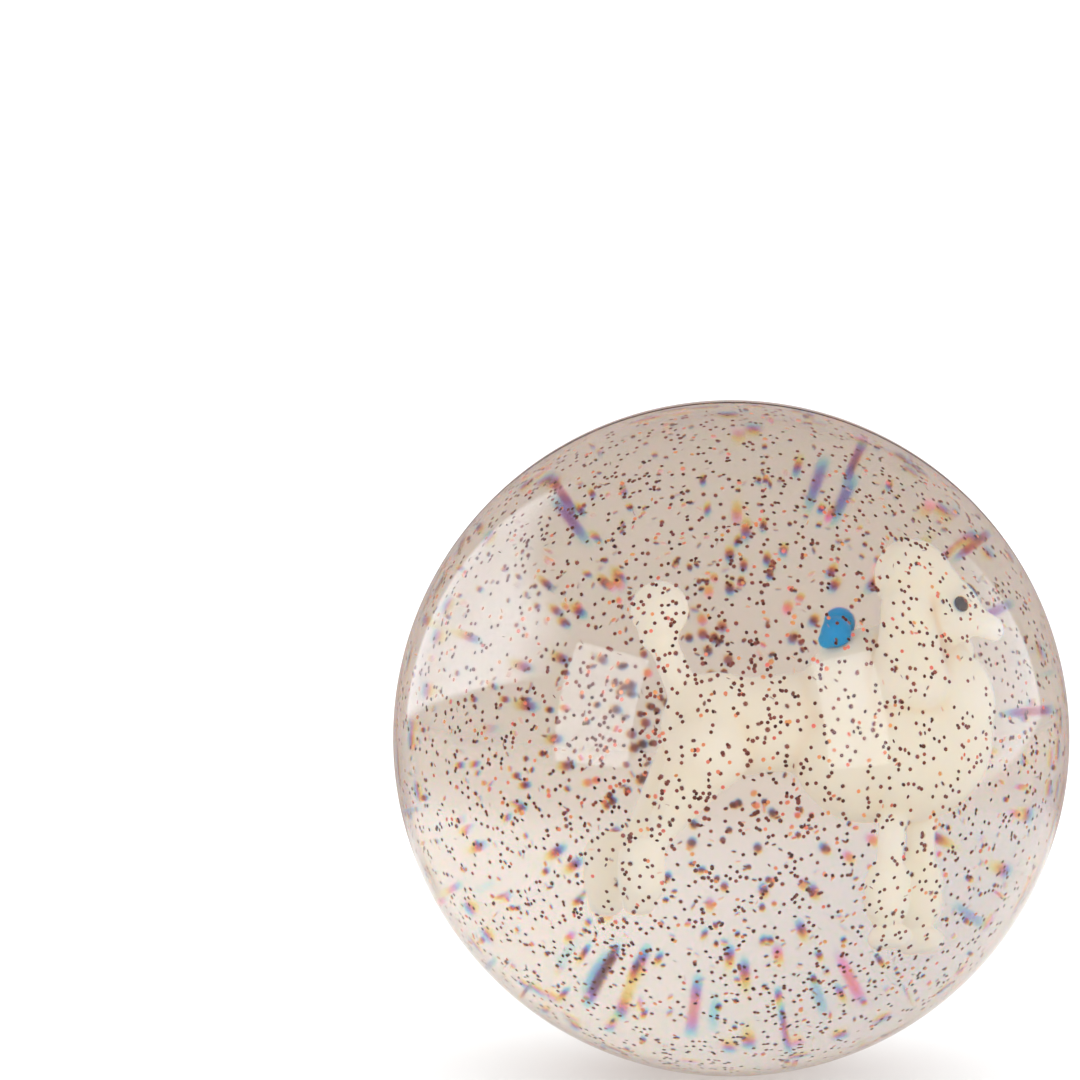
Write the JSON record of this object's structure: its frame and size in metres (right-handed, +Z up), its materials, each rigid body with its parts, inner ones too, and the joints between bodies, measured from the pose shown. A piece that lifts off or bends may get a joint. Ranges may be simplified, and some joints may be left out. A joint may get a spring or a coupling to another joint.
{
  "type": "bouncy ball",
  "caption": "Clear solid rubber bouncy ball with a cream poodle figure wearing a blue bow cast into its middle and copper glitter flakes throughout.",
  "frame": {"origin": "the ball's centre", "axes": "+Z up, +X the way the poodle faces, +Y from the front half to the rear half"},
  "size_m": [0.065, 0.065, 0.065],
  "materials": {
    "clear_body": "clear, smooth and glossy",
    "figure": "moulded, matte cream",
    "bow": "painted blue",
    "eye": "black",
    "glitter": "metallised copper brown"
  },
  "bodies": {
    "root": {"front_half": "clear_body", "rear_half": "clear_body", "poodle": "figure", "neck_bow": "bow", "eyes": "eye", "glitter_flakes": "glitter"}
  },
  "joints": []
}
